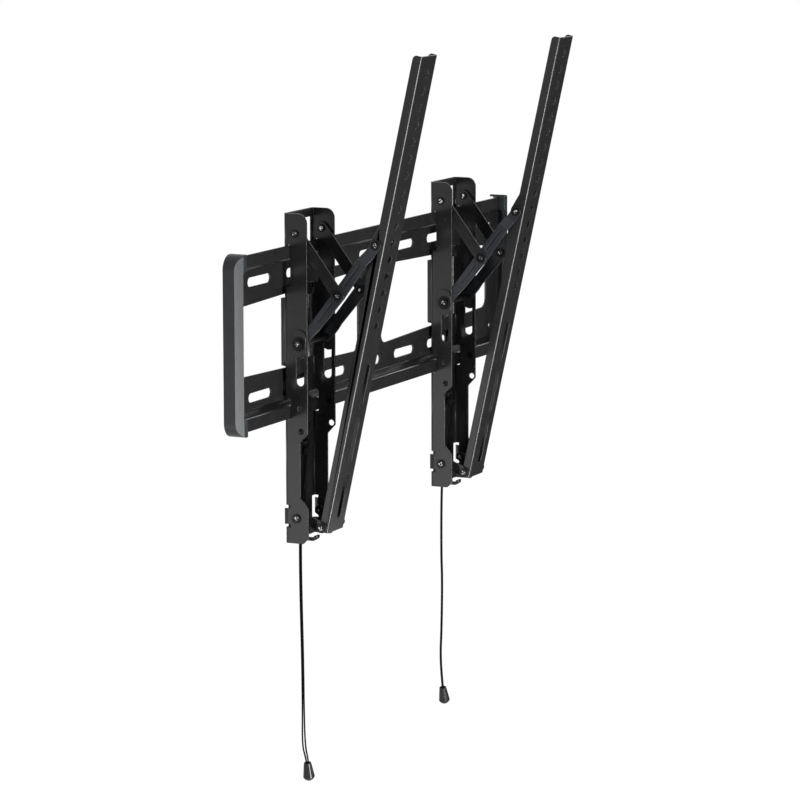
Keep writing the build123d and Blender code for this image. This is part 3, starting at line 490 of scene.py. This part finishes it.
# %% [markdown]
# Studio lamps
#
# Black steel shows almost nothing but reflections. One large lamp would turn it an even grey, so each
# lamp stands where one kind of surface mirrors it into the camera. The fold of a rail turns through a
# quarter circle and catches the tall fold lamp in front, the slanted strip of the end cap faces the
# front lamp, the uprights' left flanges face the side lamp, and the bends of the wall plate catch the
# bend lamp. The top and back lamps are for the sides that the photograph doesn't show. A lamp's
# brightness is its power divided by its area and by pi, so here each lamp gets a brightness and its
# power follows.


# %% Place the lamps
def soft_lamp(name, direction, distance, size, brightness):
    """A rectangular lamp at a distance in a direction from the bracket, facing it."""
    lamp_data = bpy.data.lights.new(name, "AREA")
    lamp_data.shape = "RECTANGLE"
    lamp_data.size, lamp_data.size_y = size
    lamp_data.energy = brightness * pi * size[0] * size[1]
    lamp = bpy.data.objects.new(name, lamp_data)
    away = Vector(direction).normalized()
    lamp.location = away * distance
    lamp.rotation_euler = away.to_track_quat("Z", "Y").to_euler()
    lamp.visible_camera = False
    scene.collection.objects.link(lamp)
    print("lamp:", name, round(lamp_data.energy, 1), "W")


soft_lamp("fold_lamp", (-0.43, -0.87, -0.33), 1.6, (0.40, 0.95), 40)
soft_lamp("front_lamp", (0.05, -0.99, -0.08), 3.0, (0.6, 0.8), 8)
soft_lamp("side_lamp", (-0.90, 0.36, -0.42), 1.4, (0.6, 0.6), 1.7)
soft_lamp("bend_lamp", (0.89, -0.33, 0.31), 3.0, (0.5, 0.4), 6)
soft_lamp("top_lamp", (0.35, -0.35, 0.85), 3.0, (1.8, 1.8), 2)
soft_lamp("back_lamp", (0.10, 0.95, 0.30), 3.0, (1.5, 1.0), 4)

# %% [markdown]
# Backdrop and floor
#
# The photograph is a cut-out on white. A wall that is lit until it is white would also light the bracket
# grey. So the world shows white to the camera and to reflections in metal and plastic, and sheds less
# light than that on the bracket. The floor lies where a room's floor would, about a metre below the
# bracket, and shows the same white with a trace of shadow. Seen at a slant even a black face mirrors a
# white room, so photographers stand a dark card beside a black object. Here one stands on the right,
# where the fronts of the rails and of the plate mirror it.

# %% White surround
ROOM_LEVEL = 0.65
world = bpy.data.worlds.new("studio")
scene.world = world
world.use_nodes = True


def seen_by_camera(tree):
    """1 for rays from the camera and for what metal or glass reflects or lets through, else 0."""
    rays = tree.nodes.new("ShaderNodeLightPath")
    kinds = [Shade(tree, rays.outputs[f"Is {kind} Ray"]) for kind in ("Camera", "Glossy", "Transmission")]
    return kinds[0].math("MAXIMUM", kinds[1]).math("MAXIMUM", kinds[2])


surround = world.node_tree.nodes["Background"]
surround.inputs["Color"].default_value = (1, 1, 1, 1)
feed(surround, "Strength", seen_by_camera(world.node_tree) * (1 - ROOM_LEVEL) + ROOM_LEVEL)
scene.view_settings.view_transform = "Standard"
print("surround: white to the camera,", ROOM_LEVEL, "as light")


# %% Pale floor
def studio_panel(name, corners):
    """A flat four-cornered panel of the studio, with a plain material of its own."""
    mesh = bpy.data.meshes.new(name)
    mesh.from_pydata(corners, [], [(0, 1, 2, 3)])
    panel = bpy.data.objects.new(name, mesh)
    scene.collection.objects.link(panel)
    paint = bpy.data.materials.new(f"{name}_paint")
    paint.use_nodes = True
    mesh.materials.append(paint)
    return panel, paint.node_tree


FLOOR_HEIGHT = -1.05
FLOOR_HALF = 9.0
FLOOR_GLOW = 1.04
GLOW_SHARE = 0.92  # the rest of what the camera sees is the lit floor, with its shadow
square = np.array([(-1, -1), (1, -1), (1, 1), (-1, 1)])
floor, paint = studio_panel("floor", np.column_stack([FLOOR_HALF * square, np.full(4, FLOOR_HEIGHT)]))
pale = paint.nodes["Principled BSDF"]
pale.inputs["Base Color"].default_value = (0.86, 0.86, 0.85, 1)
pale.inputs["Roughness"].default_value = 0.9
glow = paint.nodes.new("ShaderNodeEmission")
glow.inputs["Strength"].default_value = FLOOR_GLOW
blend = paint.nodes.new("ShaderNodeMixShader")
paint.links.new((seen_by_camera(paint) * GLOW_SHARE).socket, blend.inputs["Fac"])
paint.links.new(pale.outputs["BSDF"], blend.inputs[1])
paint.links.new(glow.outputs["Emission"], blend.inputs[2])
paint.links.new(blend.outputs["Shader"], paint.nodes["Material Output"].inputs["Surface"])
print("floor:", FLOOR_HEIGHT, "m")

# %% Dark card
CARD_WAY = np.array((0.87, -0.40, -0.27))
CARD_DISTANCE = 2.2
CARD_HALF = 1.2
card_side = np.array((0.42, 0.91, 0.0))
card_rise = np.cross(card_side, CARD_WAY)
card_corners = CARD_DISTANCE * CARD_WAY + CARD_HALF * square @ np.array([card_side, card_rise])
card, paint = studio_panel("black_card", card_corners)
paint.nodes["Principled BSDF"].inputs["Base Color"].default_value = (0.07, 0.07, 0.07, 1)
paint.nodes["Principled BSDF"].inputs["Specular IOR Level"].default_value = 0.0
card.visible_camera = False
card.visible_diffuse = False
card.visible_shadow = False
print("card:", CARD_DISTANCE, "m away")
